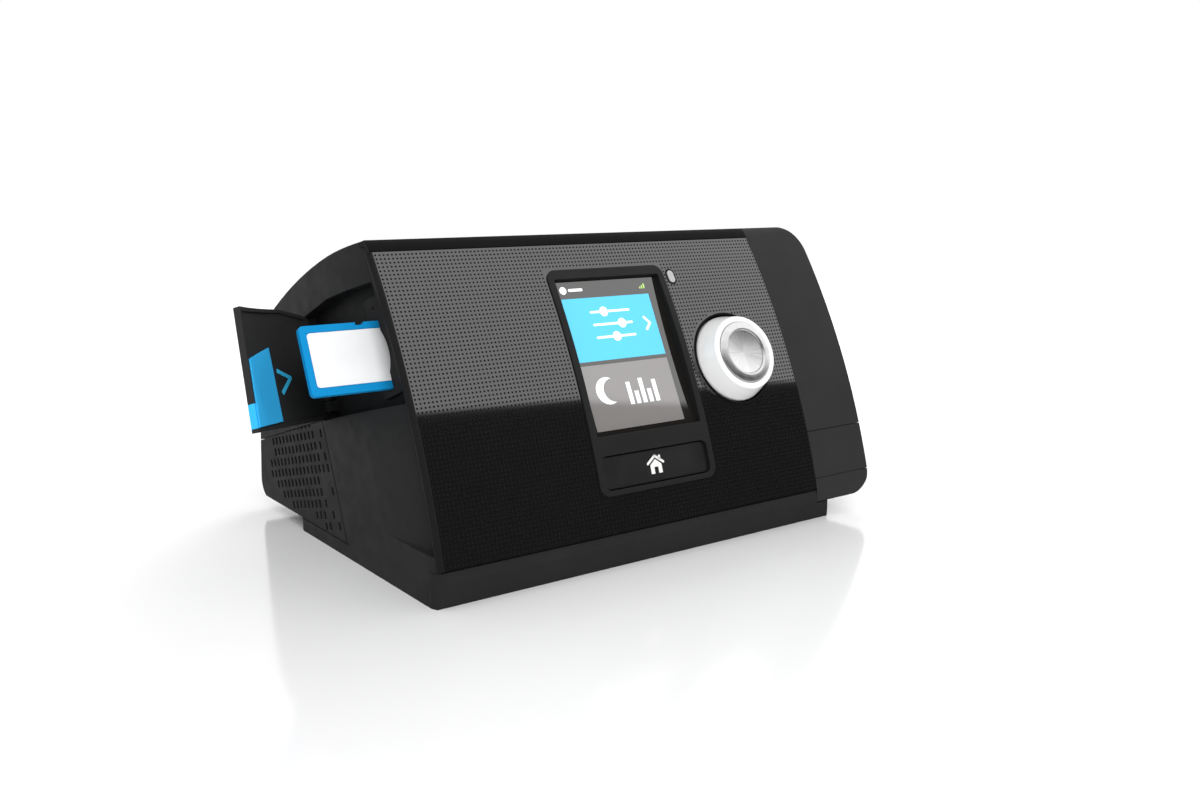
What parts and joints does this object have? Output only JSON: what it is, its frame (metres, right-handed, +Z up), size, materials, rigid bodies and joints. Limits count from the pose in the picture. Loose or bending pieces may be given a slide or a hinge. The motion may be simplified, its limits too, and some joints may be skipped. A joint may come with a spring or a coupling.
{
  "type": "CPAP machine",
  "caption": "Bedside CPAP machine: sloping front panel with screen, home key and press dial, side memory-card door, rear filter cover and slide-out water tub.",
  "frame": {"origin": "middle of the base tray's footprint, on the surface it stands on", "axes": "+X to the water tub's end, +Y to the back, +Z up"},
  "size_m": [0.2469, 0.1559, 0.116],
  "materials": {
    "case_charcoal": "fine moulded texture",
    "panel_grey": "satin with a fine dot print",
    "bezel_black": "gloss",
    "screen_glass": "clear",
    "screen_panel": "matte screen",
    "knob_white": "gloss",
    "chrome": "polished",
    "spun_silver": "radially brushed",
    "key_black": "satin",
    "door_blue": "satin",
    "card_blue": "satin",
    "label_white": "printed paper",
    "steel": "plain",
    "board_green": "solder mask",
    "part_black": "plain",
    "part_grey": "plain",
    "foam": "open cell",
    "filter_white": "pleated",
    "copper": "wound",
    "heater_metal": "plain",
    "tub_grey": "translucent smoke",
    "soft_rubber": "plain",
    "silicone_grey": "plain"
  },
  "bodies": {
    "machine": {"base_tray": "case_charcoal", "rubber_feet": "soft_rubber", "base_screws": "steel", "housing_shell": "case_charcoal", "front_fascia": "panel_grey", "light_sensor_lens": "bezel_black", "top_trim": "case_charcoal", "key_switches": "part_black", "display_bezel": "bezel_black", "display_glass": "screen_glass", "lcd_module": "screen_panel", "dial_well": "bezel_black", "dial_encoder": "steel", "sd_bay": "case_charcoal", "sd_socket": "steel", "sd_hinge_pin": "steel", "main_board": "board_green", "board_screws": "steel", "chassis_frame": "part_grey", "modem_module": "steel", "ribbon_cable": "part_grey", "air_filter": "filter_white", "filter_holder": "part_black", "blower_case_lower": "part_grey", "blower_case_upper": "part_grey", "motor_stator": "copper", "motor_bearings": "steel", "blower_mounts": "soft_rubber", "muffler_foam": "foam", "blower_duct": "part_grey", "flow_sensor": "part_black", "tub_bay": "part_black", "heater_plate": "heater_metal", "heater_tray": "part_grey", "heater_springs": "steel", "outlet_elbow": "part_grey", "outlet_connector": "part_grey", "outlet_seals": "silicone_grey", "power_inlet": "part_black", "power_pins": "steel"},
    "dial_rotor": {"dial_shaft": "steel"},
    "dial_head": {"dial_knob": "knob_white", "dial_ring": "chrome", "dial_cap": "spun_silver"},
    "home_key": {"home_button": "key_black"},
    "start_key": {"start_button": "key_black"},
    "card_door": {"sd_door": "case_charcoal", "sd_door_latch": "door_blue", "sd_door_arrow": "label_white"},
    "memory_card": {"sd_card": "card_blue", "sd_card_label": "label_white"},
    "rear_cover": {"filter_cover": "case_charcoal"},
    "water_tub": {"tub_base": "tub_grey", "tub_lid": "tub_grey", "tub_plate": "heater_metal", "tub_seal": "silicone_grey", "tub_hinge_pin": "steel"},
    "blower_rotor": {"impeller": "part_black", "motor_rotor": "steel"}
  },
  "joints": [
    {"name": "dial_spin", "type": "hinge", "parent": "machine", "child": "dial_rotor", "pos_m": [0.05175, -0.04012, 0.06708], "axis": [0, -0.912, 0.4102], "continuous": true},
    {"name": "dial_press", "type": "slide", "parent": "dial_rotor", "child": "dial_head", "axis": [0, 0.912, -0.4102], "range_m": [0, 0.0008], "stiffness_N_per_m": 1500, "springref_m": -0.0006},
    {"name": "home_press", "type": "slide", "parent": "machine", "child": "home_key", "axis": [0, 0.9533, -0.302], "range_m": [0, 0.0006], "stiffness_N_per_m": 1200, "springref_m": -0.0005},
    {"name": "start_press", "type": "slide", "parent": "machine", "child": "start_key", "axis": [0, 0, -1], "range_m": [0, 0.0006], "stiffness_N_per_m": 1200, "springref_m": -0.0005},
    {"name": "card_door_swing", "type": "hinge", "parent": "machine", "child": "card_door", "pos_m": [-0.08865, 0.03263, 0.0665], "axis": [0, 0.3907, 0.9205], "range_deg": [0, 47]},
    {"name": "memory_card_slide", "type": "slide", "parent": "machine", "child": "memory_card", "axis": [1, 0, 0], "range_m": [0, 0.0278]},
    {"name": "filter_cover_swing", "type": "hinge", "parent": "machine", "child": "rear_cover", "pos_m": [-0.09015, 0.01935, 0.02651], "axis": [0, 0.3907, 0.9205], "range_deg": [0, 60]},
    {"name": "tub_slide", "type": "slide", "parent": "machine", "child": "water_tub", "axis": [1, 0, 0], "range_m": [0, 0.09]},
    {"name": "blower_spin", "type": "hinge", "parent": "machine", "child": "blower_rotor", "pos_m": [-0.04525, 0.035, 0.04], "axis": [0, 0, 1], "continuous": true}
  ],
  "couplings": [
    {"joint": "memory_card_slide", "follows": "card_door_swing", "m_per_rad": 0.03389}
  ]
}
